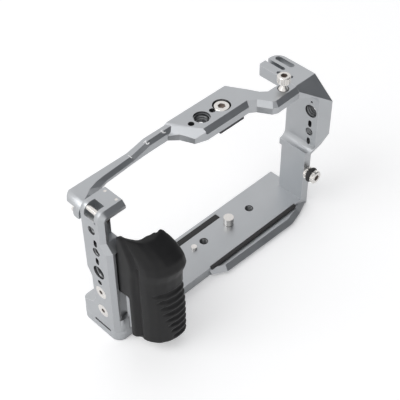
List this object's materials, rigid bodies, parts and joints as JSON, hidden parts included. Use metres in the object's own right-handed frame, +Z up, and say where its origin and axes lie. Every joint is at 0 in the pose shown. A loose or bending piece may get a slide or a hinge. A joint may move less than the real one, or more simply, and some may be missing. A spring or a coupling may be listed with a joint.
{
  "type": "camera cage",
  "caption": "Metal cage that bolts round a camera, with a rubber hand grip, tripod threads, a shoe block and screws turned by hand.",
  "frame": {"origin": "middle of the bounding box's footprint, on the surface that the cage stands on", "axes": "+X from the grip side to the arm side, +Y from the front to the back, +Z up; the lens looks along -Y"},
  "size_m": [0.1608, 0.0604, 0.103],
  "materials": {
    "anodised_aluminium": "bead-blasted and clear anodised, with fine bright edges",
    "dark_aluminium": "black anodised",
    "screw_steel": "turned stainless steel",
    "black_rubber": "matte",
    "black_nylon": "moulded, fine grain",
    "black_silicone": "satin silicone, lightly worn"
  },
  "bodies": {
    "cage": {"base_plate": "anodised_aluminium", "side_plate": "anodised_aluminium", "top_rail": "anodised_aluminium", "side_arm": "anodised_aluminium", "strap_bar": "screw_steel", "corner_pins": "screw_steel", "corner_pad": "black_rubber", "plate_screws": "screw_steel", "foot_screws": "screw_steel", "pocket_screw": "screw_steel", "rail_end_screw": "screw_steel", "shoe_screw": "screw_steel", "shoe_block": "dark_aluminium", "arm_rail_screw": "screw_steel", "arm_dowel": "screw_steel", "arm_foot_screws": "screw_steel", "locating_pin": "screw_steel", "front_strip": "black_rubber", "floor_pads": "black_rubber", "rail_pads": "black_rubber", "side_pad": "black_rubber", "hand_grip": "black_silicone", "grip_carrier": "black_nylon", "grip_screws": "screw_steel"},
    "top_screw_lift": {"top_screw_ring": "black_nylon"},
    "top_screw": {"top_hand_screw": "screw_steel"},
    "side_screw_lift": {"side_screw_ring": "black_rubber"},
    "side_screw": {"side_hand_screw": "screw_steel"},
    "camera_screw_lift": {"camera_screw_washer": "black_nylon"},
    "camera_screw": {"camera_screw": "screw_steel"}
  },
  "joints": [
    {"name": "top_screw_travel", "type": "slide", "parent": "cage", "child": "top_screw_lift", "axis": [0, 0, 1], "range_m": [0, 0.0042]},
    {"name": "top_screw_turn", "type": "hinge", "parent": "top_screw_lift", "child": "top_screw", "pos_m": [0.0575, 0.00545, 0.094], "axis": [0, 0, 1], "range_deg": [0, 2160]},
    {"name": "side_screw_travel", "type": "slide", "parent": "cage", "child": "side_screw_lift", "axis": [0, -1, 0], "range_m": [0, 0.0042]},
    {"name": "side_screw_turn", "type": "hinge", "parent": "side_screw_lift", "child": "side_screw", "pos_m": [0.07225, -0.00465, 0.02797], "axis": [0, -1, 0], "range_deg": [0, 2160]},
    {"name": "camera_screw_travel", "type": "slide", "parent": "cage", "child": "camera_screw_lift", "axis": [0, 0, -1], "range_m": [0, 0.00381]},
    {"name": "camera_screw_turn", "type": "hinge", "parent": "camera_screw_lift", "child": "camera_screw", "pos_m": [0.023, 0.01274, 0], "axis": [0, 0, -1], "range_deg": [0, 1080]}
  ],
  "couplings": [
    {"joint": "top_screw_turn", "follows": "top_screw_travel", "rad_per_m": 8976},
    {"joint": "side_screw_turn", "follows": "side_screw_travel", "rad_per_m": 8976},
    {"joint": "camera_screw_turn", "follows": "camera_screw_travel", "rad_per_m": 4947.4}
  ]
}
